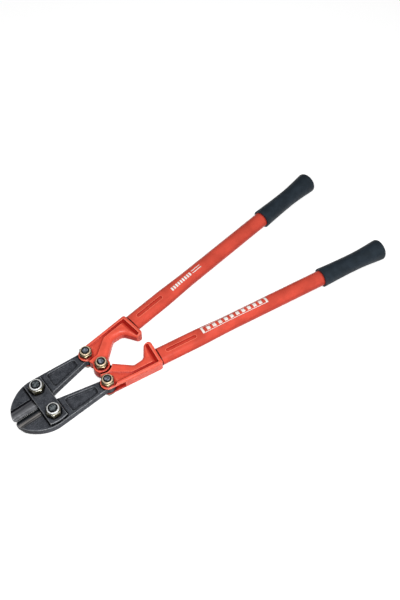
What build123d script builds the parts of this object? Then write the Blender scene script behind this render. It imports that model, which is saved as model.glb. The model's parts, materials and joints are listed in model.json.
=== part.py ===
from build123d import *
import os
from math import atan2, cos, degrees, radians, sin, sqrt, tan

# Compound-action bolt cutters, 610 mm long. Millimetres.
# +X runs along the centre line from the centre bolt to the grips, +Y to the right-hand lever,
# +Z along the bolts towards their nuts. Parts are modelled about the mid-plane of the jaws
# and lifted at the end, so that Z = 0 is the under face of the centre bolt's head.

# ---- driving dimensions ----
overall_length = 610.0
nose_reach = 143.5            # centre bolt to the blunt nose of the jaws
jaw_bolt_x = -93.1            # jaw bolts, behind the nose
jaw_bolt_y = 22.4
tail_bolt_x = -8.1            # bolts that pin the jaw tails in the levers
tail_bolt_y = 28.2
handle_angle = 7.52           # each handle from the centre line, jaws closed
handle_x = 74.8               # where the tube's axis meets the end face of the lever
handle_y = 34.7

# ---- bolts and nuts ----
jaw_bolt_radius = 6.0
jaw_bolt_flats = 19.0
jaw_bolt_head = 7.5
jaw_nut_height = 12.0
lever_bolt_radius = 5.0
lever_bolt_flats = 17.0
lever_bolt_head = 6.4
lever_nut_height = 10.0
bolt_end_stand = 0.8          # bolt end proud of its nut
bolt_end_chamfer = 1.2
chamfer_circle_share = 0.95   # turned chamfer's circle as a share of the width across flats
right_jaw_turn = -18.0        # how far each hexagon came to rest round its bolt, in degrees
left_jaw_turn = 0.0
centre_turn = 23.0
right_tail_turn = 1.0
left_tail_turn = -2.0
nut_collar_height = 3.0       # round collar above the hexagon
nut_collar_inset = 0.8        # collar's side inside the flats
nut_collar_round = 1.3
nut_collar_wall = 0.9
nut_insert_height = 3.4
nut_lip = 0.7                 # collar's rolled lip over the nylon ring
nut_lip_thickness = 0.7

# ---- jaws ----
jaw_thickness = 12.0
jaw_half_width = 40.8         # centre line to the crown of the jaw, at its bolt
crown_shoulder_back = 14.2    # behind the nose, where the crown turns down to it
crown_shoulder_y = 28.4
arm_tail_y = 36.3             # outer edge of the arm where it reaches the lever
arm_tail_x = -18.0
jaw_crown_chord = 14.6        # how far behind its bolt the jaw's rolling heel runs
arm_inner_angle = 12.0        # inner edge of the arm from the centre line
heel_radius = 22.3            # inner heel, an arc about the jaw bolt
jaw_tail_radius = 10.3
jaw_edge_round = 0.9
blade_gap = 0.2               # between the two cutting edges, closed
edge_half_thickness = 0.5     # blunt land on the cutting edge
bevel_y = 5.8                 # where the steep cutting bevel starts
bevel_z = 3.3
ridge_y = 10.1                # where the second, flatter bevel starts
ridge_z = 4.2
relief_y = 15.3               # where the relief behind the blade starts
relief_z = 4.5
relief_wall = 0.6             # slope of the relief's outer wall
blade_back_x = -101.0         # bevels end here, under the link plates
nose_notch_depth = 2.8        # the V where the two tips meet
nose_notch_y = 4.0
nose_y = 8.0
nose_round = 1.5
pocket_front_x = -71.0
pocket_back_x = -26.0
pocket_depth = 2.8
pocket_outer_rim = 3.7
pocket_inner_rim = 4.0
pocket_corner = 4.0
pocket_draft = 30.0

# ---- link plates ----
plate_thickness = 4.5
plate_width = 27.0
plate_end_y = 38.0            # crown of the rounded end
plate_corner_y = 36.0
plate_edge_round = 0.9

# ---- levers ----
lever_thickness = 20.0
lever_edge_round = 2.6
neck_edge_round = 7.0         # fuller round along the neck and the hook's front
knuckle_radius = 12.5
knuckle_face_margin = 1.0     # raised face round the knuckle
tail_boss_radius = 11.2
outer_edge_offset = 15.6      # tube's axis to the lever's outer edge
hook_heel_offset = 22.9       # tube's axis to the heel of the hook, along the end face
hook_tip_y = 7.8
hook_tip_front_x = 66.7
hook_tip_back_x = 75.6
notch_front_x = 37.3          # straight edge between the neck and the hook
notch_back_x = 53.6
notch_y = 26.1
neck_x = 10.2
neck_y = 1.6
waist_low_x = -9.0            # back of the neck, from the knuckle ...
waist_low_y = 8.3
waist_high_x = -12.4          # ... to the tail boss
waist_high_y = 19.5
outer_corner_round = 4.0
hook_heel_round = 5.0
hook_tip_round = 4.2
hook_tip_back_round = 4.0
notch_back_round = 9.0
notch_front_round = 6.0
neck_round = 3.0              # where the neck leaves the knuckle
waist_round = 1.5
rib_width = 5.0               # raised rib along the outer edge
channel_width = 3.3
end_rim_width = 5.5
face_step = 1.5               # recessed faces lie this far below the raised ones
seat_step = 0.6               # round seats of the tail bolt, below the raised faces
seat_radius = 9.2
channel_depth = 2.6           # channel between rib and neck, at the end rim
plateau_knuckle_x = 4.0       # edge of the raised neck, from the knuckle ...
plateau_knuckle_y = 17.3
plateau_corner_x = 27.5       # ... to where it turns along the channel
scoop_run = 8.0               # the hook's scoop falls towards the end rim over this length
scoop_depth = 4.6
scoop_reach = 23.4            # tube's axis to the scoop's end in the hook's tip
scoop_corner = 2.4
slot_end_x = 12.5             # far end of the fork slot, at the outer edge
slot_round_gap = 3.1          # jaw tail to the bottom of the fork slot

# ---- handles ----
tube_radius = 12.0
tube_wall = 2.2
flat_half_width = 13.8
flat_half_height = 9.0
flat_crown = 0.35             # slight crown on the flattened faces
flat_face_half = 5.4
flat_length = 58.0
blend_length = 70.0
blend_steps = 5
crimp_start = 12.0
crimp_length = 50.0
crimp_width = 5.4
crimp_depth = 1.6
tang_length = 64.0
tang_root = 3.0               # how far the tang is drawn from inside the lever head
tang_clearance = 0.2
grip_length = 114.0
grip_mouth_radius = 15.0
grip_waist_radius = 13.7
grip_waist_at = 42.0
grip_swell_radius = 14.3
grip_swell_at = 80.0
grip_end_radius = 16.5
grip_end_corner = 5.0
grip_dome = 1.6
grip_end_wall = 7.0
grip_inside_gap = 0.05

# ---- clearances ----
running_clearance = 0.05      # radial, every pin in its hole
plate_gap = 0.1               # jaw face to link plate
lap_gap = 0.1                 # between the two half-lapped knuckles
lap_radial_gap = 2.2
fork_gap = 0.25               # jaw tail to each ear of the fork
nut_gap = 0.1                 # centre nut to the knuckle that turns under it
tail_slot_travel = 2.0        # play of the right tail bolt, across the jaw
tail_slot_side = 0.45         # play along the jaw

jaw_bolt = (jaw_bolt_x, jaw_bolt_y)
tail_bolt = (tail_bolt_x, tail_bolt_y)
half_jaw = jaw_thickness / 2
half_lever = lever_thickness / 2
low_face = half_lever - face_step
tail_seat = half_lever - seat_step
slot_half = half_jaw + fork_gap
plate_inner = half_jaw + plate_gap
plate_outer = plate_inner + plate_thickness
lift = half_lever + lever_bolt_head
handle_cos = cos(radians(handle_angle))
handle_sin = sin(radians(handle_angle))
handle_length = (overall_length - nose_reach - handle_x) / handle_cos
grip_start = handle_length - grip_length
tube_end = handle_length - grip_end_wall
far = 400.0                   # longer than any cut needs
cut_margin = 1.0              # how far a cut starts outside the solid


def along(distance, offset):
    """Point beside the right handle's axis: distance from the lever's end face, offset outwards."""
    return (handle_x + distance * handle_cos - offset * handle_sin,
            handle_y + distance * handle_sin + offset * handle_cos)


def outer_edge(x):
    """Y of the lever's outer edge, which runs parallel to the handle."""
    start_x, start_y = along(0, outer_edge_offset)
    return start_y + (x - start_x) * tan(radians(handle_angle))


def arm_outer(x):
    """Y of the jaw arm's outer edge."""
    slope = (jaw_half_width - arm_tail_y) / (arm_tail_x - jaw_bolt_x)
    return arm_tail_y + (arm_tail_x - x) * slope


heel_x = jaw_bolt_x + jaw_crown_chord
heel_y = jaw_bolt_y - sqrt(heel_radius ** 2 - jaw_crown_chord ** 2)


def arm_inner(x):
    """Y of the jaw arm's inner edge."""
    return heel_y + (x - heel_x) * tan(radians(arm_inner_angle))


def beyond(start, end):
    """Point far along the straight line from start through end."""
    length = sqrt((end[0] - start[0]) ** 2 + (end[1] - start[1]) ** 2)
    return tuple(a + (b - a) * far / 2 / length for a, b in zip(start, end))


def rounded(sketch, point, radius):
    """Round the sketch's corner that is nearest to a point."""
    corner = sketch.vertices().sort_by_distance((*point, 0))[0]
    return fillet(corner, radius)


def outline_edges(solid, level):
    """Edges of the flat faces at the given height, top and bottom."""
    faces = [f for f in solid.faces().filter_by(Axis.Z) if abs(abs(f.center().Z) - level) < 0.01]
    return ShapeList([edge for face in faces for edge in face.edges()])


def prism(points, low, high):
    """Straight prism on a polygon, between two heights."""
    with BuildPart() as block:
        with BuildSketch(Plane.XY.offset(low)):
            with BuildLine():
                Polyline(*points, close=True)
            make_face()
        extrude(amount=high - low)
    return block.part


def pin(radius, point, low=-far, high=far):
    """Round bar or drill along Z at a point, between two heights."""
    return Pos(point[0], point[1], (low + high) / 2) * Cylinder(radius, high - low)


# ---- jaws: forged blades with bevelled edges and pocketed arms ----
def jaw_blank():
    notch = (-nose_reach + nose_notch_depth, blade_gap / 2)
    nose_corner = (-nose_reach, nose_notch_y)
    with BuildPart() as blank:
        with BuildSketch() as outline:
            with BuildLine():
                Line(notch, nose_corner)
                Line(nose_corner, (-nose_reach, nose_y))
                crown = (jaw_bolt_x, jaw_half_width)
                shoulder = (-nose_reach + crown_shoulder_back, crown_shoulder_y)
                Spline((-nose_reach, nose_y), shoulder, crown, tangents=[(0.25, 1), (1, -0.04)])
                Line(crown, (tail_bolt_x, arm_outer(tail_bolt_x)))
                Line((tail_bolt_x, arm_outer(tail_bolt_x)), (tail_bolt_x, arm_inner(tail_bolt_x)))
                Line((tail_bolt_x, arm_inner(tail_bolt_x)), (heel_x, heel_y))
                heel_turn = degrees(atan2(heel_y - jaw_bolt_y, heel_x - jaw_bolt_x)) + 90
                CenterArc(jaw_bolt, heel_radius, -90, heel_turn)
                Line((jaw_bolt_x, jaw_bolt_y - heel_radius), notch)
            make_face()
            rounded(outline, nose_corner, nose_round)
            with Locations(tail_bolt):
                Circle(jaw_tail_radius)
        extrude(amount=half_jaw, both=True)
        rim = [edge for edge in outline_edges(blank.part, half_jaw)
               if edge.center().Y > jaw_bolt_y and edge.center().X < tail_bolt_x - jaw_tail_radius]
        fillet(rim, jaw_edge_round)
    return blank.part


def blade_cut():
    """Relief and cutting bevel above the blade, drawn across the jaw and run along it."""
    with BuildPart() as cut:
        with BuildSketch(Plane.YZ.offset(-nose_reach - cut_margin)):
            with BuildLine():
                Polyline((-cut_margin, edge_half_thickness), (blade_gap / 2, edge_half_thickness),
                         (bevel_y, bevel_z), (ridge_y, ridge_z), (relief_y, relief_z),
                         (relief_y + relief_wall, half_jaw), (relief_y + relief_wall, half_jaw + cut_margin),
                         (-cut_margin, half_jaw + cut_margin), close=True)
            make_face()
        extrude(amount=blade_back_x + nose_reach + cut_margin)
    return cut.part


def arm_pocket():
    """Tapered pocket in the arm's upper face, inside an even rim."""
    with BuildPart() as pocket:
        with BuildSketch(Plane.XY.offset(half_jaw)) as shape:
            with BuildLine():
                Polyline((pocket_front_x, arm_inner(pocket_front_x) + pocket_inner_rim),
                         (pocket_back_x, arm_inner(pocket_back_x) + pocket_inner_rim),
                         (pocket_back_x, arm_outer(pocket_back_x) - pocket_outer_rim),
                         (pocket_front_x, arm_outer(pocket_front_x) - pocket_outer_rim), close=True)
            make_face()
            fillet(shape.vertices(), pocket_corner)
        extrude(amount=-pocket_depth, taper=pocket_draft)
    return pocket.part


def right_jaw():
    blade = blade_cut()
    pocket = arm_pocket()
    solid = jaw_blank() - blade - mirror(blade, Plane.XY) - pocket - mirror(pocket, Plane.XY)
    return solid - pin(jaw_bolt_radius + running_clearance, jaw_bolt)


def tail_hole():
    """Round hole of the left jaw, a close fit on its bolt."""
    return pin(lever_bolt_radius + running_clearance, tail_bolt)


def tail_slot():
    """Slotted hole of the right jaw, which leaves its bolt free to follow the linkage."""
    width = 2 * (lever_bolt_radius + tail_slot_side)
    with BuildPart() as slot:
        with BuildSketch(Plane.XY.offset(-half_jaw - cut_margin)):
            with Locations(tail_bolt):
                SlotCenterToCenter(2 * tail_slot_travel, width, rotation=90)
        extrude(amount=jaw_thickness + 2 * cut_margin)
    return slot.part


# ---- link plates: two straps that carry both jaw bolts ----
def link_plate():
    front = jaw_bolt_x - plate_width / 2
    back = jaw_bolt_x + plate_width / 2
    with BuildPart() as plate:
        with BuildSketch(Plane.XY.offset(plate_inner)):
            with BuildLine():
                Line((front, -plate_corner_y), (front, plate_corner_y))
                ThreePointArc((front, plate_corner_y), (jaw_bolt_x, plate_end_y), (back, plate_corner_y))
                Line((back, plate_corner_y), (back, -plate_corner_y))
                ThreePointArc((back, -plate_corner_y), (jaw_bolt_x, -plate_end_y), (front, -plate_corner_y))
            make_face()
            with Locations((jaw_bolt_x, jaw_bolt_y), (jaw_bolt_x, -jaw_bolt_y)):
                Circle(jaw_bolt_radius + running_clearance, mode=Mode.SUBTRACT)
        extrude(amount=plate_thickness)
        rim = plate.faces().sort_by(Axis.Z)[-1].outer_wire().edges()
        fillet(rim, plate_edge_round)
    return plate.part


# ---- hexagon bolts and nylon-insert nuts ----
def hexagon(flats, height, turn):
    """Hexagon prism with the 30-degree turned chamfer of a bolt head on its lower side."""
    corner = flats / sqrt(3)
    prism_part = extrude(RegularPolygon(corner, 6, rotation=turn), height)
    circle = flats / 2 * chamfer_circle_share
    drop = (corner - circle) * tan(radians(30))
    with BuildPart() as turned:
        with BuildSketch(Plane.XZ):
            with BuildLine():
                Polyline((0, 0), (circle, 0), (corner, drop), (corner, height), (0, height), close=True)
            make_face()
        revolve(axis=Axis.Z)
    return prism_part & turned.part


def bolt(radius, flats, head, under_head, length, point, turn):
    """Hexagon bolt, its head below the height under_head."""
    shank = Pos(0, 0, length / 2) * Cylinder(radius, length)
    end = shank.edges().sort_by(Axis.Z)[-1]
    shank = chamfer(end, bolt_end_chamfer)
    return Pos(point[0], point[1], under_head) * (shank + Pos(0, 0, -head) * hexagon(flats, head, turn))


def lock_nut(radius, flats, height, seat, point, turn):
    """Nut with a round collar that is rolled in over a nylon ring."""
    hex_height = height - nut_collar_height
    collar_radius = flats / 2 - nut_collar_inset
    round_start = height - nut_collar_round
    ring_radius = collar_radius - nut_collar_wall
    ring_floor = height - nut_lip_thickness - nut_insert_height
    with BuildPart() as collar:
        with BuildSketch(Plane.XZ):
            with BuildLine():
                Polyline((0, 0), (collar_radius, 0), (collar_radius, round_start))
                JernArc((collar_radius, round_start), (0, 1), nut_collar_round, 90)
                Line((collar_radius - nut_collar_round, height), (0, height))
                Line((0, height), (0, 0))
            make_face()
        revolve(axis=Axis.Z)
    body = mirror(Pos(0, 0, -hex_height) * hexagon(flats, hex_height, turn), Plane.XY) + collar.part
    body -= pin(radius, (0, 0))
    body -= pin(ring_radius, (0, 0), ring_floor, ring_floor + nut_insert_height)
    body -= pin(ring_radius - nut_lip, (0, 0), ring_floor)
    return Pos(point[0], point[1], seat) * body


def nylon_ring(radius, flats, height, seat, point):
    """Nylon ring under the nut's lip, gripping the bolt."""
    ring_radius = flats / 2 - nut_collar_inset - nut_collar_wall - running_clearance
    floor = seat + height - nut_lip_thickness - nut_insert_height
    ring = pin(ring_radius, point, floor, floor + nut_insert_height)
    return ring - pin(radius + running_clearance, point)


# ---- levers: forged heads with a fork, a half-lapped knuckle and a hook ----
def lever_outline():
    heel = along(0, -hook_heel_offset)
    corner = along(0, outer_edge_offset)
    with BuildSketch() as outline:
        with BuildLine():
            boss_angle = radians(90 + handle_angle)
            boss_top = (tail_bolt_x + tail_boss_radius * cos(boss_angle),
                        tail_bolt_y + tail_boss_radius * sin(boss_angle))
            Polyline(boss_top, corner, heel, (hook_tip_back_x, hook_tip_y), (hook_tip_front_x, hook_tip_y),
                     (notch_back_x, notch_y), (notch_front_x, notch_y), (neck_x, neck_y), (0, 0),
                     (waist_low_x, waist_low_y), (waist_high_x, waist_high_y), tail_bolt, close=True)
        make_face()
        with Locations((0, 0)):
            Circle(knuckle_radius)
        with Locations(tail_bolt):
            Circle(tail_boss_radius)
        rounded(outline, corner, outer_corner_round)
        rounded(outline, heel, hook_heel_round)
        rounded(outline, (hook_tip_front_x, hook_tip_y), hook_tip_round)
        rounded(outline, (hook_tip_back_x, hook_tip_y), hook_tip_back_round)
        rounded(outline, (notch_back_x, notch_y), notch_back_round)
        rounded(outline, (notch_front_x, notch_y), notch_front_round)
        rounded(outline, (knuckle_radius, neck_y), neck_round)
        rounded(outline, (waist_low_x, waist_low_y), waist_round)
        rounded(outline, (waist_high_x, waist_high_y), waist_round)
    return outline.sketch


def above_slope(distance, run, high, low):
    """Everything above a plane that falls towards the tubes, from one height to another over a run."""
    slope = degrees(atan2(high - low, run))
    hinge = Location((*along(distance, 0), high), (0, 0, handle_angle)) * Location((0, 0, 0), (0, slope, 0))
    return hinge * Pos(0, 0, far / 2) * Box(2 * far, far, far)


def face_recess():
    """Low area of the upper face: round the tail bolt, along the channel and into the hook's scoop."""
    channel_out = outer_edge_offset - rib_width
    channel_in = channel_out - channel_width
    rim = -end_rim_width
    turn_x = plateau_corner_x
    turn_y = outer_edge(turn_x) - (rib_width + channel_width) / handle_cos
    tail_x = tail_bolt_x - 2 * tail_boss_radius
    low = prism([(tail_x, outer_edge(tail_x) - rib_width / handle_cos), along(rim, channel_out),
                 along(rim, channel_in), (turn_x, turn_y), (plateau_knuckle_x, plateau_knuckle_y),
                 (tail_x, plateau_knuckle_y)], low_face, half_lever + cut_margin)
    boss = pin(tail_boss_radius + cut_margin, tail_bolt, low_face, half_lever + cut_margin)
    recess = low + boss - pin(knuckle_radius + knuckle_face_margin, (0, 0))
    return recess - pin(seat_radius, tail_bolt, low_face, tail_seat)


def channel():
    """Channel between the rib and the neck, which deepens towards the hook."""
    outside = outer_edge_offset - rib_width
    inside = outside - channel_width
    rim = -end_rim_width
    start = (plateau_corner_x - handle_x) / handle_cos
    floor = half_lever - channel_depth
    groove = prism([along(start, outside), along(rim, outside), along(rim, inside), along(start, inside)],
                   floor, half_lever + cut_margin)
    return groove & above_slope(start, rim - start, low_face, floor)


def hook_scoop():
    """Scoop in the hook, from the channel to near the tip, deepest against the end rim."""
    rim = -end_rim_width
    front = rim - scoop_run
    out = outer_edge_offset - rib_width
    floor = half_lever - scoop_depth
    with BuildPart() as scoop:
        with BuildSketch(Plane.XY.offset(floor)) as shape:
            with BuildLine():
                Polyline(along(rim, out), along(front, out), along(front, -scoop_reach),
                         along(rim, -scoop_reach), close=True)
            make_face()
            rounded(shape, along(rim, out), scoop_corner)
            rounded(shape, along(rim, -scoop_reach), scoop_corner)
        extrude(amount=scoop_depth + cut_margin)
    return scoop.part & above_slope(front, scoop_run, half_lever, floor)


def neck_body():
    """Block that gives the neck and the hook's front their fuller round; it reaches well past both."""
    bend = (notch_front_x, notch_y)
    hook_bend = (notch_back_x, notch_y)
    past_neck = beyond(bend, (neck_x, neck_y))
    past_tip = beyond(hook_bend, (hook_tip_front_x, hook_tip_y))
    with BuildPart() as block:
        with BuildSketch() as outline:
            with BuildLine():
                Polyline(past_neck, bend, hook_bend, past_tip, (far, far), (-far, far), close=True)
            make_face()
            rounded(outline, bend, notch_front_round)
            rounded(outline, hook_bend, notch_back_round)
        extrude(amount=half_lever, both=True)
        inner = [edge for edge in outline_edges(block.part, half_lever) if abs(edge.center().X) < far / 2]
        fillet(inner, neck_edge_round)
    return block.part


def fork_slot():
    """Slot that lets the jaw's tail into the lever from the side."""
    reach = jaw_tail_radius + slot_round_gap
    pocket = pin(reach, tail_bolt, -slot_half, slot_half)
    opening = prism([(-far, tail_bolt_y - reach), (tail_bolt_x, tail_bolt_y - reach),
                     (tail_bolt_x + reach, tail_bolt_y), (slot_end_x, outer_edge(slot_end_x)),
                     (slot_end_x, far), (-far, far)], -slot_half, slot_half)
    return pocket + opening


def section(half_width, half_height, face_half, crown):
    """Flattened round section with slightly crowned faces; a circle when the four sizes agree."""
    side = half_height - crown
    with BuildSketch() as shape:
        with BuildLine():
            ThreePointArc((-face_half, side), (0, half_height), (face_half, side))
            ThreePointArc((face_half, side), (half_width, 0), (face_half, -side))
            ThreePointArc((face_half, -side), (0, -half_height), (-face_half, -side))
            ThreePointArc((-face_half, -side), (-half_width, 0), (-face_half, side))
        make_face()
    return shape.sketch


def handle_plane(distance):
    """Plane across the right handle: its X across the handle, its Y along Z."""
    x, y = along(distance, 0)
    return Plane(origin=(x, y, 0), x_dir=(-handle_sin, handle_cos, 0), z_dir=(handle_cos, handle_sin, 0))


def crimp_bar(start, length, width, depth, half_height):
    """Round-ended bar lying along the handle's crest, sunk by depth: it presses the crimp groove."""
    centre = start + length / 2
    x, y = along(centre, 0)
    with BuildPart() as bar:
        with BuildSketch(Plane.XY.offset(half_height - depth)):
            with Locations(Location((x, y), handle_angle)):
                SlotOverall(length, width)
        extrude(amount=far)
    return bar.part


def tang():
    """Flat tang that stands inside the tube, grooved for the crimp."""
    shrink = tube_wall + tang_clearance
    shape = section(flat_half_width - shrink, flat_half_height - shrink,
                    flat_face_half - shrink / 2, flat_crown)
    solid = extrude(handle_plane(-tang_root) * shape, tang_length + tang_root)
    bar = crimp_bar(crimp_start - tube_wall, crimp_length + 2 * tube_wall, crimp_width + 2 * tube_wall,
                    crimp_depth, flat_half_height - shrink)
    return solid - bar - mirror(bar, Plane.XY)


def right_lever(lap_is_upper):
    blank = extrude(lever_outline(), half_lever, both=True)
    blank = fillet(outline_edges(blank, half_lever), lever_edge_round)
    knuckle = blank & pin(knuckle_radius, (0, 0))
    blank = (blank & neck_body()) + knuckle
    hollows = face_recess() + channel() + hook_scoop()
    blank -= hollows
    blank -= mirror(hollows, Plane.XY)
    blank += tang()
    blank -= fork_slot()
    lap_radius = knuckle_radius + lap_radial_gap
    if lap_is_upper:
        blank -= pin(lap_radius, (0, 0), -far, lap_gap / 2)
    else:
        blank -= pin(lap_radius, (0, 0), -lap_gap / 2, far)
    for point in [(0, 0), tail_bolt]:
        blank -= pin(lever_bolt_radius + running_clearance, point)
    return blank


# ---- handles: tubes flattened and crimped over the tangs, with rubber grips ----
def tube_body(inset, start, end):
    """Outside of the tube, or its bore when inset by the wall: flat, blended to round, then straight."""
    def at(blend):
        round_face = (tube_radius - inset) * sin(radians(45))
        flat_face = flat_face_half - inset / 2
        half_width = flat_half_width - inset + (tube_radius - flat_half_width) * blend
        half_height = flat_half_height - inset + (tube_radius - flat_half_height) * blend
        crown = flat_crown + (tube_radius - inset - round_face - flat_crown) * blend
        return section(half_width, half_height, flat_face + (round_face - flat_face) * blend, crown)

    flat = extrude(handle_plane(start) * at(0), flat_length - start)
    stations = [step / blend_steps for step in range(blend_steps + 1)]
    rings = [handle_plane(flat_length + blend_length * s) * at(s * s * (3 - 2 * s)) for s in stations]
    blend = loft(rings)
    straight_start = flat_length + blend_length
    straight = extrude(handle_plane(straight_start) * at(1), end - straight_start)
    return flat + blend + straight


def right_tube():
    bar = crimp_bar(crimp_start, crimp_length, crimp_width, crimp_depth, flat_half_height)
    dent = crimp_bar(crimp_start - tube_wall, crimp_length + 2 * tube_wall, crimp_width + 2 * tube_wall,
                     crimp_depth, flat_half_height - tube_wall)
    outside = tube_body(0, 0, tube_end)
    bore = tube_body(tube_wall, -cut_margin, tube_end + cut_margin)
    outside -= bar + mirror(bar, Plane.XY)
    bore -= dent + mirror(dent, Plane.XY)
    return outside - bore


def right_grip():
    with BuildPart() as grip:
        with BuildSketch(Plane.XZ):
            with BuildLine():
                end_face = grip_length - grip_dome
                mouth = (0, grip_mouth_radius)
                waist = (grip_waist_at, grip_waist_radius)
                swell = (grip_swell_at, grip_swell_radius)
                corner_start = (end_face - grip_end_corner, grip_end_radius)
                corner_end = (end_face, grip_end_radius - grip_end_corner)
                Line((0, 0), mouth)
                Spline(mouth, waist, swell, corner_start, tangents=[(1, -0.04), (1, 0.06)])
                RadiusArc(corner_start, corner_end, grip_end_corner)
                dome_radius = (corner_end[1] ** 2 + grip_dome ** 2) / (2 * grip_dome)
                RadiusArc(corner_end, (grip_length, 0), dome_radius)
                Line((grip_length, 0), (0, 0))
            make_face()
        revolve(axis=Axis.X)
    hollow = tube_end - grip_start
    socket = Cylinder(tube_radius + grip_inside_gap, 2 * hollow)
    solid = grip.part - Rot(0, 90, 0) * socket
    x, y = along(grip_start, 0)
    return Location((x, y, 0), (0, 0, handle_angle)) * solid


def left(solid):
    """The same part on the other side of the centre line."""
    return mirror(solid, Plane.XZ)


def other_side(point):
    return (point[0], -point[1])


parts = {}
blank_jaw = right_jaw()
parts["right_jaw"] = blank_jaw - tail_slot()
parts["left_jaw"] = left(blank_jaw - tail_hole())
parts["front_link_plate"] = link_plate()
parts["back_link_plate"] = mirror(link_plate(), Plane.XY)
parts["right_lever_head"] = right_lever(True)
parts["left_lever_head"] = left(right_lever(False))
parts["right_handle_tube"] = right_tube()
parts["left_handle_tube"] = left(right_tube())
parts["right_grip"] = right_grip()
parts["left_grip"] = left(right_grip())

stations = {
    "right_jaw": (jaw_bolt, "jaw", right_jaw_turn),
    "left_jaw": (other_side(jaw_bolt), "jaw", left_jaw_turn),
    "centre": ((0, 0), "centre", centre_turn),
    "right_tail": (tail_bolt, "tail", right_tail_turn),
    "left_tail": (other_side(tail_bolt), "tail", left_tail_turn),
}
for name, (point, kind, turn) in stations.items():
    if kind == "jaw":
        radius, flats, head, height = jaw_bolt_radius, jaw_bolt_flats, jaw_bolt_head, jaw_nut_height
        under_head, seat = -plate_outer, plate_outer
    else:
        radius, flats, head, height = lever_bolt_radius, lever_bolt_flats, lever_bolt_head, lever_nut_height
        under_head = -half_lever if kind == "centre" else -tail_seat
        seat = half_lever + nut_gap if kind == "centre" else tail_seat
    length = seat + height + bolt_end_stand - under_head
    parts[f"{name}_bolt"] = bolt(radius, flats, head, under_head, length, point, turn)
    parts[f"{name}_nut"] = lock_nut(radius, flats, height, seat, point, turn)
    parts[f"{name}_nylon_ring"] = nylon_ring(radius, flats, height, seat, point)

os.makedirs("parts", exist_ok=True)
for name, solid in parts.items():
    export_step(Pos(0, 0, lift) * solid, f"parts/{name}.step")
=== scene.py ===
# %% [markdown]
# # Dressing a pair of bolt cutters
# The tool comes into Blender as 25 finished solids: two jaws, two link plates, two lever heads,
# two handle tubes, two grips, and five bolts with their nuts and nylon rings. Every solid already
# has its real size and place. This lesson leaves those alone and adds what a solid model lacks:
# soft forged edges, enamel, blackened steel, zinc plate, rubber, printed bands, light and a camera.

# %% Load the fixed frame
import json
import math
import bpy
from mathutils import Matrix, Vector


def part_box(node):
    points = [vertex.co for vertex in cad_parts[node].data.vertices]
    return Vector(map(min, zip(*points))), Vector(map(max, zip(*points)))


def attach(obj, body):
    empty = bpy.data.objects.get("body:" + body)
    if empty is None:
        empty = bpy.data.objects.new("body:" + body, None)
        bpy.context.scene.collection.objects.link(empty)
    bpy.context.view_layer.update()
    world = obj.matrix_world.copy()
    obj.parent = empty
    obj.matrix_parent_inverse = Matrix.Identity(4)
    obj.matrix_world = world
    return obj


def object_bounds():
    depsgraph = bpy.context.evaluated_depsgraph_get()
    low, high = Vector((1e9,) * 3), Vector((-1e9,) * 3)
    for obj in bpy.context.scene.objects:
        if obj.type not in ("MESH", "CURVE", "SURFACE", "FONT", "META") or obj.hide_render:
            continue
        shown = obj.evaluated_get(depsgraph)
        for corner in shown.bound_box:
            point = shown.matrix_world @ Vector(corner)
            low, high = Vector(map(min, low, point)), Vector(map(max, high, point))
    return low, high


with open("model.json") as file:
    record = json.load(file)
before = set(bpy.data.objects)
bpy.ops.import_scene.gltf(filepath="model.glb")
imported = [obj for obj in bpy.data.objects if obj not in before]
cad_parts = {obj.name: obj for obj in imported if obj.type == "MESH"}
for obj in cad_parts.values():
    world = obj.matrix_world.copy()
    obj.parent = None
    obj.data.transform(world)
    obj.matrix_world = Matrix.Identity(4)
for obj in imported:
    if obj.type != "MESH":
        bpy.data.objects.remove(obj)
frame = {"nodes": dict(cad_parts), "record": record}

cad_low, cad_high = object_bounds()
print("size in mm:", [round(1000 * side, 1) for side in cad_high - cad_low])

# %% [markdown]
# ## Measuring from the solids
# A studio set is built round its subject, so the script first reads where the main pieces lie.
# The numbers could be typed in, but measured ones stay right when the model is packed again.

# %% Read the frame
mm = 0.001
scene = bpy.context.scene


def middle(node):
    """Centre of a solid's box."""
    low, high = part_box(node)
    return (low + high) / 2


jaw_mid_z = middle("right_jaw").z
floor_z = cad_low.z
print("jaws lie", round(1000 * (jaw_mid_z - floor_z), 1), "mm above the floor")

# %% [markdown]
# ## Finishes as node graphs
# Each finish is a small graph that ends in one Principled shader. It could be wired by hand in the
# Shader Editor, but the same few blocks come back in every one: a place on the object, cloudy
# noise, a ramp, a mix, a bump. Helper functions lay those blocks here, so each recipe further down
# reads like a list of coats.

# %% Start a material and feed its sockets
def new_finish(name):
    """An empty material with its Principled shader, ready for a recipe."""
    material = bpy.data.materials.new(name)
    material.use_nodes = True
    tree = material.node_tree
    return material, tree, tree.nodes["Principled BSDF"]


def add(tree, kind, **settings):
    """Add one node and set its plain properties."""
    node = tree.nodes.new("ShaderNode" + kind)
    for key, value in settings.items():
        setattr(node, key, value)
    return node


def feed(tree, value, socket):
    """Link what varies over the surface; write a plain number or colour into the socket itself."""
    if isinstance(value, bpy.types.NodeSocket):
        tree.links.new(value, socket)
    else:
        socket.default_value = (*value, 1) if socket.type == "RGBA" else value


def work_out(tree, operation, *values):
    """Result of one Math node."""
    node = add(tree, "Math", operation=operation)
    for value, socket in zip(values, node.inputs):
        feed(tree, value, socket)
    return node.outputs[0]


print("helpers ready: new_finish, add, feed, work_out")

# %% [markdown]
# ## Places and clouds
# Nothing on a real tool is quite even, so most recipes start from noise. The noise needs a place to
# look up. A picture would need the surfaces unwrapped, but Object coordinates come for free, and
# since all solids share one origin they are the same on every piece. Counting them in millimetres
# keeps a grain of 2 as easy to picture as it is on the bench.

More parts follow.
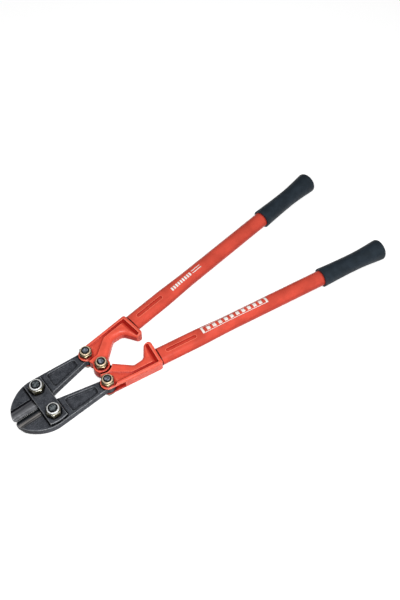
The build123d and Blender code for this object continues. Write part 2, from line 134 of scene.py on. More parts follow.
# %% Places and clouds
def millimetres(tree, stretch=(1, 1, 1)):
    """Place on the object in millimetres, stretched for drawn or ground grain."""
    mapping = add(tree, "Mapping")
    mapping.inputs["Scale"].default_value = [1000 * s for s in stretch]
    feed(tree, add(tree, "TexCoord").outputs["Object"], mapping.inputs["Vector"])
    return mapping.outputs["Vector"]


def one_axis(tree, vector, axis):
    """X, Y or Z of a place or direction."""
    split = add(tree, "SeparateXYZ")
    feed(tree, vector, split.inputs[0])
    return split.outputs[axis]


def along(tree, vector, direction):
    """How far a place or direction runs along another direction."""
    product = add(tree, "VectorMath", operation="DOT_PRODUCT")
    product.inputs[1].default_value = direction
    feed(tree, vector, product.inputs[0])
    return product.outputs["Value"]


def cloud(tree, where, grain, detail=3.0, rough=0.5):
    """Cloudy noise whose lumps are about `grain` millimetres across."""
    noise = add(tree, "TexNoise")
    noise.inputs["Scale"].default_value = 1 / grain
    noise.inputs["Detail"].default_value = detail
    noise.inputs["Roughness"].default_value = rough
    feed(tree, where, noise.inputs["Vector"])
    return noise.outputs["Fac"]


print("helpers ready: millimetres, one_axis, along, cloud")

# %% [markdown]
# ## Ramps, mixes and bumps
# A mask is a number from 0 to 1 over the surface. A ramp makes one out of any measure, a mix lays
# one colour over another through it, and a bump turns it into small heights. Bumps only bend the
# light. That is enough for lumps under half a millimetre, and it leaves the solid's size alone.

# %% Ramps, mixes and bumps
def ramp(tree, value, low, high, out_low=0.0, out_high=1.0):
    """Stretch a value between two limits to a new range, smoothly and clamped."""
    node = add(tree, "MapRange", interpolation_type="SMOOTHSTEP")
    inputs = {"Value": value, "From Min": low, "From Max": high,
              "To Min": out_low, "To Max": out_high}
    for name, source in inputs.items():
        feed(tree, source, node.inputs[name])
    return node.outputs["Result"]


def level(tree, mask, empty, full):
    """A number that goes from `empty` to `full` as a mask fills."""
    return ramp(tree, mask, 0.0, 1.0, empty, full)


def times(tree, first, second):
    """Product of two masks."""
    return work_out(tree, "MULTIPLY", first, second)


def tint(tree, amount, first, second):
    """Mix two colours; either may be a plain colour or another node's output."""
    node = add(tree, "Mix", data_type="RGBA")
    first_colour, second_colour = node.inputs[6], node.inputs[7]
    feed(tree, amount, node.inputs["Factor"])
    feed(tree, first, first_colour)
    feed(tree, second, second_colour)
    return node.outputs[2]


def uneven_gloss(tree, shader, lumps, smooth, rough):
    """Roughness that drifts between two values with a cloud."""
    feed(tree, ramp(tree, lumps, 0.3, 0.7, smooth, rough), shader.inputs["Roughness"])


def bump(tree, shader, layers):
    """Stack bumps: each layer is a height and how tall it is in millimetres."""
    normal = None
    for height, tall in layers:
        node = add(tree, "Bump")
        node.inputs["Strength"].default_value = 1.0
        node.inputs["Distance"].default_value = tall * mm
        feed(tree, height, node.inputs["Height"])
        if normal is not None:
            feed(tree, normal, node.inputs["Normal"])
        normal = node.outputs["Normal"]
    feed(tree, normal, shader.inputs["Normal"])


print("helpers ready: ramp, level, times, tint, uneven_gloss, bump")

# %% [markdown]
# ## Masks that feel the shape
# Shade falls in inner corners and in the gap where two pieces meet, and light catches outer edges;
# the recipes paint both into the colour. Such places could be painted by hand, but the Ambient
# Occlusion node finds them by itself: it feels how much metal surrounds a spot. Felt on the piece
# alone it gives the piece's own hollows, and with the neighbours as well it also gives their
# contacts. The difference between the two is the seams. Turned round, to feel inside the metal,
# it gives the outer edges.

# %% Feel for hollows, seams and edges
feeler_rays = 8


def feel(tree, reach, none, full, alone=True, inside=False):
    """Openness within a reach in millimetres, as a mask: 0 at `none` and 1 at `full`."""
    feeler = add(tree, "AmbientOcclusion", only_local=alone, inside=inside, samples=feeler_rays)
    feeler.inputs["Distance"].default_value = reach * mm
    return ramp(tree, feeler.outputs["AO"], none, full)


def hollows(tree, reach):
    """1 in inner corners and grooves and against a neighbour, 0 in the open."""
    wide = feel(tree, reach, 0.97, 0.70, alone=False)
    tight = feel(tree, 0.5 * reach, 0.95, 0.76, alone=False)
    return work_out(tree, "MAXIMUM", wide, tight)


def seams(tree, reach):
    """1 where another piece stands close by, 0 elsewhere."""
    on_its_own = feel(tree, reach, 0.0, 1.0)
    with_neighbours = feel(tree, reach, 0.0, 1.0, alone=False)
    return ramp(tree, work_out(tree, "SUBTRACT", on_its_own, with_neighbours), 0.22, 0.42)


def edges(tree, reach):
    """1 on outer edges, 0 on open faces."""
    return feel(tree, reach, 0.97, 0.72, inside=True)


print("helpers ready: feel, hollows, seams, edges")

# %% [markdown]
# ## Masks from direction and place
# Other marks follow where a spot lies or which way it faces: a ground band, a tube's mouth, the
# walls that turn away from the lamp. They could be cut into the solid as extra faces, each with a
# material of its own, but that would give hard borders and change the solid. A mask gives the same
# border with a soft end.

# %% Read direction and place
def facing_up(tree, low, high):
    """How much a face looks along the bolts, up or down."""
    normal = add(tree, "NewGeometry").outputs["Normal"]
    return ramp(tree, work_out(tree, "ABSOLUTE", one_axis(tree, normal, "Z")), low, high)


def facing(tree, direction, low, high):
    """How much a face looks along a direction on the object."""
    normal = add(tree, "TexCoord").outputs["Normal"]
    return ramp(tree, along(tree, normal, direction), low, high)


def between(tree, value, low, high, soft=0.3):
    """1 between two limits, with soft ends."""
    rise = ramp(tree, value, low - soft, low + soft)
    fall = ramp(tree, value, high + soft, high - soft)
    return times(tree, rise, fall)


def strip(tree, place, axis, limits):
    """1 between two limits along one axis, in millimetres."""
    return between(tree, one_axis(tree, place, axis), *limits)


print("helpers ready: facing_up, facing, between, strip")

# %% [markdown]
# ## Enamel: where it changes
# The lever heads are forgings sprayed with thick red-orange enamel, and the tubes wear the same
# over drawn steel. Most of its changes follow the shape, but three have a place of their own: walls
# that look down towards the nose get painted shade, so does the fork's lower ear, and a thin line
# of painted shadow runs round each tube where it meets its lever head. That line lies square across
# the handle. The two handles mirror each other, so taking Y without its sign measures both at once.

# %% Places on the levers and tubes
toward_nose = (-0.87, -0.10, -0.48)
ear_heights, ear_reach = (-5.0, 10.2), (-60.0, 12.5)
tube_mouth, mouth_width = 78.4, 1.8
handle_run = middle("right_grip") - middle("right_handle_tube")
handle_angle = math.atan2(handle_run.y, handle_run.x)
handle_direction = (math.cos(handle_angle), math.sin(handle_angle), 0)


def ring_along_handle(tree, place, start, width):
    """1 over a short length of both handles, measured from the centre bolt in millimetres."""
    mirrored = add(tree, "CombineXYZ")
    feed(tree, one_axis(tree, place, "X"), mirrored.inputs["X"])
    feed(tree, work_out(tree, "ABSOLUTE", one_axis(tree, place, "Y")), mirrored.inputs["Y"])
    distance = along(tree, mirrored.outputs[0], handle_direction)
    return between(tree, distance, start, start + width)


print("each handle leans out by", round(math.degrees(handle_angle), 2), "degrees")

# %% [markdown]
# ## Enamel: the recipe
# A flat red would look like plastic, so the recipe adds what a paint shop leaves behind: slow waves
# from the steel underneath and fine orange peel on top. It also paints in light and shade: a deep
# and less shiny red as painted shade in corners and below steps, a warmer one as painted shade in
# shallow basins, a lighter one as a painted highlight on edges, and black as painted shadow in the
# gaps at the seams. A coat that comes later in the recipe covers the earlier ones, so the gaps,
# which have to stay dark, come near its end.

# %% Enamel recipe
basin_shade_red = (0.50, 0.016, 0.009)
seam_shadow = (0.05, 0.005, 0.004)
corner_reach, step_reach, seam_reach, basin_reach = 5.0, 4.0, 7.0, 16.0
drift_grain, freckle_grain, sheen_grain = 22, 2.4, 6
peel_grain, peel_tall = 0.9, 0.025
brighter, duller = 1.06, 0.84
basin_shade_share, shade_share, step_shade_share, ear_share = 0.85, 0.8, 0.9, 0.9


def enamel(name, body, freckle_and_shade, edge_highlight, edge_reach, wave_grain, wave_tall,
           shade_strength, shine_level, flank_shade=0.0, mouth=None):
    """Sprayed enamel with painted shade in its hollows; `mouth` is where a tube begins."""
    material, tree, shader = new_finish(name)
    where = millimetres(tree)

    drift = ramp(tree, cloud(tree, where, drift_grain, 3), 0.32, 0.68)
    colour = tint(tree, drift, [brighter * c for c in body], [duller * c for c in body])
    freckle = cloud(tree, where, freckle_grain, 4, 0.65)
    colour = tint(tree, ramp(tree, freckle, 0.58, 0.80, 0.0, 0.35), colour, freckle_and_shade)
    # Painted shade in shallow basins.
    basin_shade = feel(tree, basin_reach, 0.98, 0.82)
    colour = tint(tree, times(tree, basin_shade, basin_shade_share * shade_strength), colour, basin_shade_red)
    # Painted highlight on outer edges.
    colour = tint(tree, edges(tree, edge_reach), colour, edge_highlight)

    # Painted shade: on walls that face the nose, below steps, in corners and on the fork's lower
    # ear.
    shy = facing(tree, toward_nose, 0.30, 0.80)
    colour = tint(tree, level(tree, shy, 0.0, shade_share), colour, freckle_and_shade)
    step_shade = feel(tree, step_reach, 0.99, 0.88)
    colour = tint(tree, level(tree, step_shade, 0.0, step_shade_share * shade_strength ** 2), colour, freckle_and_shade)
    corner_shade = level(tree, hollows(tree, corner_reach), 0.0, shade_strength)
    colour = tint(tree, corner_shade, colour, freckle_and_shade)
    ear = times(tree, strip(tree, where, "Z", ear_heights), strip(tree, where, "X", ear_reach))
    colour = tint(tree, level(tree, ear, 0.0, ear_share), colour, freckle_and_shade)
    # Painted shadow in the gaps where pieces meet and round each tube's mouth.
    colour = tint(tree, seams(tree, seam_reach), colour, seam_shadow)
    if mouth:
        gap = ring_along_handle(tree, where, mouth, mouth_width)
        colour = tint(tree, gap, colour, seam_shadow)
    # Painted shade on the tubes' sides.
    if flank_shade:
        flank = facing_up(tree, 0.70, 0.15)
        colour = tint(tree, level(tree, flank, 0.0, flank_shade), colour, freckle_and_shade)
    feed(tree, colour, shader.inputs["Base Color"])

    uneven_gloss(tree, shader, cloud(tree, where, sheen_grain, 4), 0.26, 0.38)
    shine = level(tree, corner_shade, shine_level, 0.05)
    shine = times(tree, shine, level(tree, shy, 1.0, 0.2))
    shine = times(tree, shine, level(tree, facing_up(tree, 0.2, 0.8), 0.6, 1.0))
    feed(tree, shine, shader.inputs["Specular IOR Level"])

    waves = cloud(tree, where, wave_grain, 3, 0.55)
    peel = cloud(tree, where, peel_grain, 2)
    bump(tree, shader, [(waves, wave_tall), (peel, peel_tall)])
    return material


print("enamel feels", basin_reach, "mm round a spot for basins and", corner_reach, "for corners")

# %% [markdown]
# ## Enamel: two mixes
# The forged heads have short, tall waves, and strong painted shade in corners and basins. The drawn
# tubes are smoother and slimmer: their waves are longer, their painted shade is weaker, their sides
# get painted shade too, and the feeler for edges reaches only a millimetre, because a longer one
# would see through the thin wall.

# %% Enamel on the levers and tubes
red = (0.76, 0.092, 0.054)
freckle_and_shade_red = (0.34, 0.014, 0.009)
edge_highlight_red = (0.90, 0.20, 0.13)
tube_red = (0.66, 0.080, 0.050)
lever_enamel = enamel("lever_enamel_dressed", red, freckle_and_shade_red, edge_highlight_red, edge_reach=2.4,
                      wave_grain=4.0, wave_tall=0.45, shade_strength=1.0, shine_level=0.30)
tube_enamel = enamel("tube_enamel_dressed", tube_red, freckle_and_shade_red, edge_highlight_red, edge_reach=1.0,
                     wave_grain=16.0, wave_tall=0.30, shade_strength=0.45, shine_level=0.12,
                     flank_shade=0.35, mouth=tube_mouth)
print("made", lever_enamel.name, "and", tube_enamel.name)

# %% [markdown]
# ## Ground blades
# Behind their cutting edges the blades are ground, so a band on each side of the middle line
# carries fine lines along the edge in place of forged lumps. They could be drawn one by one, but
# the usual cloud, stretched fifty times along the tool, gives them all at once. One strip on the
# left blade is scratched bright. Steep faces that look towards the right side, away from the lamp,
# are painted nearly black as shade, and so is the low wall where the relief on the right blade
# ends.

# %% Ground steel
blade_end_x = -100.0
ground_strip, wall_strip, scratched_strip = (-15.6, 15.6), (13.7, 16.3), (-13.6, -7.6)
right_side = (0, 1, 0)
line_stretch = (0.02, 1, 1)
line_grain, line_tall = 1.5, 0.06
ground_dark, ground_light = (0.028, 0.029, 0.034), (0.085, 0.087, 0.095)
scratch_dark, scratch_light = (0.035, 0.035, 0.037), (0.30, 0.285, 0.27)
steep_shade_black = (0.005, 0.008, 0.010)


def in_front(tree, place, x, soft=0.2):
    """1 towards the nose from x, in millimetres."""
    return ramp(tree, one_axis(tree, place, "X"), x + soft, x - soft)


def ground_steel(tree, where, lines):
    """Colour of the ground band, from its fine lines."""
    colour = tint(tree, ramp(tree, lines, 0.38, 0.62), ground_dark, ground_light)
    scratches = tint(tree, ramp(tree, lines, 0.42, 0.58), scratch_dark, scratch_light)
    colour = tint(tree, strip(tree, where, "Y", scratched_strip), colour, scratches)
    # Painted shade on steep faces that turn away from the lamp.
    return tint(tree, facing(tree, right_side, 0.15, 0.45), colour, steep_shade_black)


print("ground band is", ground_strip[1] - ground_strip[0], "mm wide")

# %% [markdown]
# ## Blackened steel
# Jaws and link plates are heat treated and blackened. The finish is a thin oxide over forged skin:
# dark, faintly blue, cloudy, and a little polished where edges rub. Those edges also get a painted
# highlight, except where they face the nose, and grooves and faces toward the nose get painted
# shade. Only those rubbed edges count as mostly metal. The rest is oxide, and treating it as bare
# metal would mirror the lamp.

# %% Blackened forging
patch_grain, speckle_grain, oxide_sheen_grain, skin_grain = 10, 1.5, 4, 2.2
groove_reach, rub_and_highlight_reach = 4.0, 1.3
groove_shade_black = (0.002, 0.002, 0.003)
shade_black = (0.004, 0.004, 0.006)
wall_shade_black = (0.003, 0.003, 0.005)
speckle_gain = 2.0


def blackened(name, dark, light, rubbed_and_highlight, lump, ground=False):
    """Oxide over forged skin; `ground` adds the blade band and the wall behind it in painted shade.
    """
    material, tree, shader = new_finish(name)
    where = millimetres(tree)

    patches = ramp(tree, cloud(tree, where, patch_grain, 5, 0.6), 0.34, 0.66)
    colour = tint(tree, patches, dark, light)
    speckle = ramp(tree, cloud(tree, where, speckle_grain, 4, 0.75), 0.50, 0.66)
    colour = tint(tree, speckle, colour, [speckle_gain * c for c in light])
    skin = cloud(tree, where, skin_grain, 4, 0.6)
    layers = [(skin, lump)]
    if ground:
        blade = in_front(tree, where, blade_end_x)
        band = times(tree, strip(tree, where, "Y", ground_strip), blade)
        wall = times(tree, strip(tree, where, "Y", wall_strip), blade)
        lines = cloud(tree, millimetres(tree, line_stretch), line_grain, 4, 0.6)
        colour = tint(tree, band, colour, ground_steel(tree, where, lines))
        worn_skin = times(tree, skin, level(tree, band, 1.0, 0.1))
        layers = [(worn_skin, lump), (times(tree, lines, band), line_tall)]

    shy = facing(tree, toward_nose, 0.30, 0.75)
    # Rubbed edges with a painted highlight, left off the edges that face the nose.
    edge = times(tree, edges(tree, rub_and_highlight_reach), level(tree, shy, 1.0, 0.0))
    # Painted shade in grooves and on faces toward the nose.
    groove_shade = hollows(tree, groove_reach)
    colour = tint(tree, edge, colour, rubbed_and_highlight)
    colour = tint(tree, groove_shade, colour, groove_shade_black)
    colour = tint(tree, shy, colour, shade_black)
    upward = level(tree, facing_up(tree, 0.2, 0.8), 0.15, 1.0)
    shine = times(tree, level(tree, groove_shade, 0.35, 0.03), upward)
    if ground:
        # Painted shade on the wall where the right blade's relief ends.
        colour = tint(tree, wall, colour, wall_shade_black)
        shine = times(tree, shine, level(tree, wall, 1.0, 0.1))
    feed(tree, colour, shader.inputs["Base Color"])
    feed(tree, level(tree, edge, 0.25, 0.7), shader.inputs["Metallic"])
    feed(tree, shine, shader.inputs["Specular IOR Level"])
    uneven_gloss(tree, shader, cloud(tree, where, oxide_sheen_grain, 4, 0.6), 0.38, 0.55)
    bump(tree, shader, layers)
    return material


oxide = (0.020, 0.023, 0.029)
oxide_light = (0.052, 0.056, 0.066)
oxide_rubbed_and_highlight = (0.34, 0.35, 0.36)
jaw_steel = blackened("jaw_steel_dressed", oxide, oxide_light, oxide_rubbed_and_highlight, lump=0.30, ground=True)
plate_steel = blackened("plate_steel_dressed", oxide, oxide_light, oxide_rubbed_and_highlight, lump=0.22)
print("made", jaw_steel.name, "and", plate_steel.name)

# %% [markdown]
# ## Zinc on the nuts
# Nuts and bolts are zinc plated and passivated, clear on the jaws and yellow on the levers. On a
# nut the collar is painted bright, as the lit part, and the hexagon a dull olive, as painted shade,
# with a painted highlight at its corners only. Its hollows get painted shade. One recipe does for
# all five nuts: how high a spot lies on its own piece tells collar from hexagon, and how near it
# lies to the nose tells the jaws' nuts from the levers'.

# %% Zinc on the nuts
jaw_side_x = -40.0
film_grain, dent_grain, dent_tall = 2.6, 0.8, 0.04
shaded_olive, shaded_olive_dull = (0.20, 0.18, 0.10), (0.11, 0.10, 0.05)
clear_zinc, clear_dull = (0.86, 0.87, 0.87), (0.60, 0.61, 0.60)
yellow_zinc, yellow_dull = (0.79, 0.63, 0.43), (0.53, 0.41, 0.27)
nut_hollow_shade = (0.03, 0.03, 0.02)
corner_rub_and_glint_reach, nut_shade_reach, zinc_sheen_grain = 0.7, 1.5, 1.2


def above_share(tree, low, high):
    """1 in the upper part of a piece, from a share of its own height upwards."""
    height = one_axis(tree, add(tree, "TexCoord").outputs["Generated"], "Z")
    return ramp(tree, height, low, high)


def zinc_nut():
    """Collar painted bright as lit, hexagon painted dull as shade, painted highlights at corners.
    """
    material, tree, shader = new_finish("nut_zinc_dressed")
    where = millimetres(tree)
    film = ramp(tree, cloud(tree, where, film_grain, 4, 0.6), 0.34, 0.66)
    shaded_hexagon = tint(tree, film, shaded_olive, shaded_olive_dull)
    clear = tint(tree, film, clear_zinc, clear_dull)
    yellow = tint(tree, film, yellow_zinc, yellow_dull)
    bright = tint(tree, in_front(tree, where, jaw_side_x), yellow, clear)
    # Painted light and shade: the collar bright, the hexagon dull.
    collar = above_share(tree, 0.74, 0.78)
    colour = tint(tree, collar, shaded_hexagon, bright)
    # Painted highlight at the hexagon's corners.
    colour = tint(tree, edges(tree, corner_rub_and_glint_reach), colour, bright)
    # Painted shade in the nut's hollows.
    colour = tint(tree, hollows(tree, nut_shade_reach), colour, nut_hollow_shade)
    feed(tree, colour, shader.inputs["Base Color"])
    feed(tree, level(tree, collar, 0.9, 0.35), shader.inputs["Metallic"])
    uneven_gloss(tree, shader, cloud(tree, where, zinc_sheen_grain, 3), 0.26, 0.40)
    bump(tree, shader, [(cloud(tree, where, dent_grain, 3), dent_tall)])
    return material


nut_zinc = zinc_nut()
print("made", nut_zinc.name)

# %% [markdown]
# ## Zinc on the bolts
# A bolt shows two places: a mottled blue-grey end, inside the turned edge where its thread begins,
# which is painted near black as the shade in the thread, and an olive head underneath. The ends in
# the levers are paler than those in the jaws. The end is flat and its turned edge is not, so which
# way a spot faces is enough to part them.

# %% Zinc on the bolts
mottle_grain, pit_grain, pit_tall = 3.0, 0.9, 0.08
lever_end_pale, lever_end_dark = (0.36, 0.38, 0.46), (0.07, 0.09, 0.10)
jaw_end_pale, jaw_end_dark = (0.18, 0.20, 0.21), (0.025, 0.035, 0.038)
thread_shade_black = (0.008, 0.008, 0.010)
head_olive, head_dull, head_rubbed = (0.22, 0.21, 0.15), (0.14, 0.13, 0.09), (0.55, 0.52, 0.42)


def zinc_bolt():
    """Mottled end inside a turned edge painted dark as thread shade, and an olive head."""
    material, tree, shader = new_finish("bolt_steel_dressed")
    where = millimetres(tree)
    film = ramp(tree, cloud(tree, where, mottle_grain, 4, 0.6), 0.40, 0.58)
    lever_end = tint(tree, film, lever_end_pale, lever_end_dark)
    jaw_end = tint(tree, film, jaw_end_pale, jaw_end_dark)
    end = tint(tree, in_front(tree, where, jaw_side_x), lever_end, jaw_end)
    # Painted shade: the turned edge near black, as the shade in the thread.
    end = tint(tree, facing_up(tree, 0.80, 0.97), thread_shade_black, end)
    head = tint(tree, film, head_olive, head_dull)
    head = tint(tree, edges(tree, corner_rub_and_glint_reach), head, head_rubbed)
    colour = tint(tree, above_share(tree, 0.40, 0.50), head, end)
    feed(tree, colour, shader.inputs["Base Color"])
    shader.inputs["Metallic"].default_value = 0.5
    shader.inputs["Specular IOR Level"].default_value = 0.3
    uneven_gloss(tree, shader, cloud(tree, where, zinc_sheen_grain, 3), 0.38, 0.52)
    bump(tree, shader, [(cloud(tree, where, pit_grain, 3), pit_tall)])
    return material


bolt_zinc = zinc_bolt()
print("made", bolt_zinc.name)

# %% [markdown]
# ## Nylon and rubber
# The locking rings are black nylon, slightly waxy. The grips are dipped rubber, near black with a
# cold blue cast, matt, and faintly grained, so the highlight breaks up on them. Both are the same
# recipe at different scales: two near shades, a low shine, and a fine grain.

# %% Nylon and rubber
haze_grain, matt_grain = 14, 5


def soft_plastic(name, dark, light, smooth, rough, grain, tall):
    """Matt plastic, rubber or print with a hazy colour and a fine grain."""
    material, tree, shader = new_finish(name)
    where = millimetres(tree)
    haze = ramp(tree, cloud(tree, where, haze_grain, 4, 0.6), 0.35, 0.68)
    feed(tree, tint(tree, haze, dark, light), shader.inputs["Base Color"])
    shader.inputs["Specular IOR Level"].default_value = 0.2
    uneven_gloss(tree, shader, cloud(tree, where, matt_grain, 3), smooth, rough)
    bump(tree, shader, [(cloud(tree, where, grain, 3, 0.6), tall)])
    return material


nylon = soft_plastic("nylon_dressed", dark=(0.006, 0.006, 0.007), light=(0.012, 0.012, 0.014),
                     smooth=0.40, rough=0.5, grain=0.5, tall=0.02)
rubber = soft_plastic("grip_rubber_dressed", dark=(0.014, 0.022, 0.030),
                      light=(0.021, 0.032, 0.044), smooth=0.50, rough=0.65, grain=0.9, tall=0.14)
print("made", nylon.name, "and", rubber.name)

# %% [markdown]
# ## Handing the finishes out
# Each solid arrives with one material slot, named after what it is made of. Swapping the material
# in that slot keeps the solid, and its slot name, as they are.

# %% Give every solid its finish
finishes = {
    "lever_enamel": lever_enamel,
    "tube_enamel": tube_enamel,
    "jaw_steel": jaw_steel,
    "plate_steel": plate_steel,
    "nut_zinc": nut_zinc,
    "bolt_steel": bolt_zinc,
    "nylon": nylon,
    "grip_rubber": rubber,
}
slot_of = {entry["node"]: entry["material_slot"] for entry in frame["record"]["subparts"]}
for node, solid in frame["nodes"].items():
    for material_slot in solid.material_slots:
        material_slot.material = finishes[slot_of[node]]
print("dressed", len(slot_of), "solids in", len(finishes), "finishes")

# %% [markdown]
# ## Printed bands: the film
# Tools like this carry screen-printed bands on their handles. Paint could be one more mask in the
# enamel, but a mask has no thickness to catch the light. Here the paint is a real film. Every
# patch is a small grid that is dropped onto the tube with rays from above, so that it follows the
# change from flat to round, and then gets a little thickness that sinks into the enamel.

# %% Screen-printed paint
paint_lift = 0.05 * mm
paint_step = 1.2 * mm
sky_height = Vector((0, 0, 0.1))
printed_white = soft_plastic("printed_white", dark=(0.82, 0.79, 0.74), light=(0.92, 0.90, 0.86),
                             smooth=0.35, rough=0.5, grain=0.9, tall=0.02)


def patch_on_tube(solids, tube_middle, run, outward, patch):
    """Corners and faces of one patch, laid on the tube by rays from above."""
    start, end, low, high = patch
    columns = max(1, round((end - start) * mm / paint_step))
    rows = max(1, round((high - low) * mm / paint_step))
    corners, faces = [], []
    for i in range(columns + 1):
        for j in range(rows + 1):
            along_tube = (start + (end - start) * i / columns) * mm
            across_tube = (low + (high - low) * j / rows) * mm
            above = tube_middle + run * along_tube + outward * across_tube + sky_height
            _, spot, normal, *_ = scene.ray_cast(solids, above, (0, 0, -1))
            corners.append(spot + normal * paint_lift)
    for i in range(columns):
        for j in range(rows):
            a = i * (rows + 1) + j
            faces.append((a, a + rows + 1, a + rows + 2, a + 1))
    return corners, faces


def printed_band(side, patches):
    """One film of paint on a handle tube; patches lie along and across its middle, in mm."""
    tube_middle = middle(f"{side}_handle_tube")
    run = (middle(f"{side}_grip") - tube_middle).normalized()
    outward = Vector((-run.y, run.x, 0)) * (1 if side == "right" else -1)
    solids = bpy.context.evaluated_depsgraph_get()
    corners, faces = [], []
    for patch in patches:
        first = len(corners)
        patch_corners, patch_faces = patch_on_tube(solids, tube_middle, run, outward, patch)
        corners += patch_corners
        faces += [[first + corner for corner in face] for face in patch_faces]
    mesh = bpy.data.meshes.new(f"{side}_printed_band")
    mesh.from_pydata(corners, [], faces)
    band = bpy.data.objects.new(f"{side}_printed_band", mesh)
    scene.collection.objects.link(band)
    mesh.materials.append(printed_white)
    mesh.shade_smooth()
    if sum(face.normal.z for face in mesh.polygons) < 0:
        mesh.flip_normals()
    film = band.modifiers.new("paint_film", "SOLIDIFY")
    film.thickness = 2 * paint_lift
    film.offset = -1
    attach(band, f"{side}_lever")
    return band


print("paint film is", round(2 * paint_lift / mm, 2), "mm thick")

# %% [markdown]
# ## Printed bands: the layout
# The bands are plain. The left-hand tube gets a long frame with even bars inside it. The right-hand
# one gets a row of short bars, with two thin lines after it. Counting the bars out from one pitch
# keeps them even, and it is easy to change.

# %% Frame with bars on the left-hand tube
frame_start, frame_end = -121.0, -10.0
frame_inner, frame_outer = -7.4, 4.2
frame_line, frame_cap = 0.9, 3.5
bar_count, bar_margin = 10, 6.5
bar_gap_share, bar_share = 0.22, 0.56
bar_inner, bar_outer = frame_inner + 2.6, frame_outer - 2.2

patches = [(frame_start, frame_end, frame_outer - frame_line, frame_outer),
           (frame_start, frame_end, frame_inner, frame_inner + frame_line),
           (frame_start, frame_start + frame_cap, frame_inner, frame_outer),
           (frame_end - frame_cap, frame_end, frame_inner, frame_outer)]
bar_pitch = (frame_end - frame_start - 2 * bar_margin) / bar_count
for number in range(bar_count):
    bar_start = frame_start + bar_margin + (number + bar_gap_share) * bar_pitch
    patches.append((bar_start, bar_start + bar_share * bar_pitch, bar_inner, bar_outer))
left_band = printed_band("left", patches)
print("printed", left_band.name, "with", len(left_band.data.polygons), "faces")

# %% Row and lines on the right-hand tube
row_start, row_inner, row_outer = -113.0, -2.8, 3.0
row_count, row_pitch, row_bar = 9, 4.6, 3.0
line_gap, line_end, line_width = 1.5, 61.0, 1.2

patches = []
for number in range(row_count):
    bar_start = row_start + number * row_pitch
    patches.append((bar_start, bar_start + row_bar, row_inner, row_outer))
for line in (row_inner + 0.4, row_outer - 1.6):
    line_start = row_start + row_count * row_pitch + line_gap
    patches.append((line_start, row_start + line_end, line, line + line_width))
right_band = printed_band("right", patches)
print("printed", right_band.name, "with", len(right_band.data.polygons), "faces")

# %% [markdown]
# ## Soft forged edges
# A forging leaves its die with no sharp edge at all: ribs, pockets and bosses flow into each other,
# and those rounded edges are what catches the light. A Bevel could round them one edge at a time,
# but it trips over the many short edges where curved cuts meet. A voxel Remesh turns the solid into
# an even skin of small squares first, and a few passes of Smooth then melt every edge alike. The
# levers get more passes than the jaws, because paint fills and rounds them further.

# %% Melt the edges of the forgings
def melt(node, voxel, passes):
    """Even skin of voxel-sized squares, relaxed a few times."""
    solid = frame["nodes"][node]
    skin = solid.modifiers.new("even_skin", "REMESH")
    skin.mode = "VOXEL"
    skin.voxel_size = voxel * mm
    skin.use_smooth_shade = True
    relax = solid.modifiers.new("melted_edges", "SMOOTH")
    relax.factor = 0.5
    relax.iterations = passes


for side in ("right", "left"):
    melt(f"{side}_lever_head", voxel=0.6, passes=8)
    melt(f"{side}_jaw", voxel=0.5, passes=4)
print("melted the edges of lever heads and jaws")

# %% [markdown]
# ## The floor
# The tool lies on a white sweep. The floor takes a soft shadow like any matt paper. To the camera
# and to mirror-like surfaces it shines a little besides, so that it reads as white without any
# more light on the tool.

# %% Floor
def white_for_viewers(tree, plain, white):
    """Show one closure to camera, glossy and transmission rays and another to the rest."""
    path = add(tree, "LightPath").outputs
    seen = work_out(tree, "MAXIMUM", path["Is Camera Ray"], path["Is Glossy Ray"])
    seen = work_out(tree, "MAXIMUM", seen, path["Is Transmission Ray"])
    choice = add(tree, "MixShader")
    for source, socket in zip((seen, plain, white), choice.inputs):
        feed(tree, source, socket)
    return choice.outputs[0]


floor_reach = 6.0
paper_grey = (0.80, 0.80, 0.80)
paper_glow = 0.62

floor_mesh = bpy.data.meshes.new("floor")
corners = [(-floor_reach, -floor_reach, 0), (floor_reach, -floor_reach, 0),
           (floor_reach, floor_reach, 0), (-floor_reach, floor_reach, 0)]
floor_mesh.from_pydata(corners, [], [(0, 1, 2, 3)])
floor = bpy.data.objects.new("floor", floor_mesh)
floor.location.z = floor_z
scene.collection.objects.link(floor)

floor_paper = bpy.data.materials.new("floor_paper")
floor_paper.use_nodes = True
paper = floor_paper.node_tree
paper.nodes.clear()
matt = add(paper, "BsdfDiffuse")
feed(paper, paper_grey, matt.inputs["Color"])
glow = add(paper, "Emission")
feed(paper, paper_glow, glow.inputs["Strength"])
lit = add(paper, "AddShader")
feed(paper, matt.outputs[0], lit.inputs[0])
feed(paper, glow.outputs[0], lit.inputs[1])
surface = add(paper, "OutputMaterial")
feed(paper, white_for_viewers(paper, matt.outputs[0], lit.outputs[0]), surface.inputs["Surface"])
floor_mesh.materials.append(floor_paper)
print("floor lies at", round(floor_z / mm, 1), "mm and reaches", floor_reach, "m each way")

# %% [markdown]
# ## The world
# A plain grey world fills the shadows. One even grey would flatten the metal, so it is brighter on
# the side of the lamp and darker behind the nose, which keeps steps in the steel crisp.

# %% World
lit_side = Vector((0.25, -0.60, 0.76))
fill_dark, fill_bright = 0.12, 0.45

studio = bpy.data.worlds.new("studio")
scene.world = studio
studio.use_nodes = True
sky = studio.node_tree
sky.nodes.clear()
toward = along(sky, add(sky, "TexCoord").outputs["Generated"], lit_side)
fill = add(sky, "Background")
feed(sky, ramp(sky, toward, -0.2, 0.9, fill_dark, fill_bright), fill.inputs["Strength"])
sky_out = add(sky, "OutputWorld")
feed(sky, fill.outputs[0], sky_out.inputs["Surface"])
print("world fill runs from", fill_dark, "to", fill_bright)

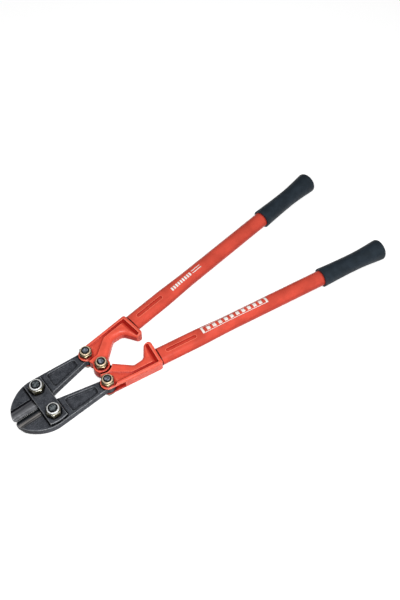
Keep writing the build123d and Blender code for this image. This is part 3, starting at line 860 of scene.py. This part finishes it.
# %% [markdown]
# ## Light
# One soft box hangs beside the jaws on the left-hand lever's side, well above them. The near sides
# of the tubes are bright, their far sides fall off, every step that faces away from it draws a
# dark line, and the grips lie further from it and come out a little darker.

# %% Soft box
def soft_box(name, place, aim, width, height, power):
    """Rectangular area lamp that looks from its place at its aim."""
    lamp = bpy.data.lights.new(name, "AREA")
    lamp.shape = "RECTANGLE"
    lamp.size = width
    lamp.size_y = height
    lamp.energy = power
    holder = bpy.data.objects.new(name, lamp)
    holder.location = place
    holder.rotation_mode = "QUATERNION"
    holder.rotation_quaternion = (Vector(aim) - Vector(place)).to_track_quat("-Z", "Y")
    scene.collection.objects.link(holder)
    return holder


soft_box("key", place=(-0.08, -0.38, 0.80), aim=(0.05, 0.0, 0.0),
         width=0.55, height=0.55, power=8.6)

# %% [markdown]
# ## Camera
# The camera stands off to the side and looks down at the tool. It could be dragged into place, but
# then nobody knows why it stands there. Here it is placed by what a camera operator writes down:
# which way it faces, how far it looks down, how far away it is, and what it aims at.

# %% Camera
heading = math.radians(37.42)
looking_down = math.radians(56.90)
lean = math.radians(0.26)
distance = 1.297
aim_point = Vector((0.1816, 0.0078, jaw_mid_z))
focal_length, sensor_width = 51.76, 36.0

away = Vector((math.sin(heading), math.cos(heading), 0))
up = Vector((0, 0, 1))
look = away * math.cos(looking_down) - up * math.sin(looking_down)
level_top = away * math.sin(looking_down) + up * math.cos(looking_down)
level_right = Vector((math.cos(heading), -math.sin(heading), 0))
right = level_right * math.cos(lean) + level_top * math.sin(lean)
top = -level_right * math.sin(lean) + level_top * math.cos(lean)

lens = bpy.data.cameras.new("camera")
lens.lens = focal_length
lens.sensor_width = sensor_width
lens.clip_start = 0.05
lens.clip_end = 30.0
camera = bpy.data.objects.new("camera", lens)
turned = Matrix((right, top, -look)).transposed().to_4x4()
camera.matrix_world = Matrix.Translation(aim_point - look * distance) @ turned
scene.collection.objects.link(camera)
scene.camera = camera
scene.view_settings.view_transform = "Standard"
print("camera at", [round(c, 3) for c in camera.location])
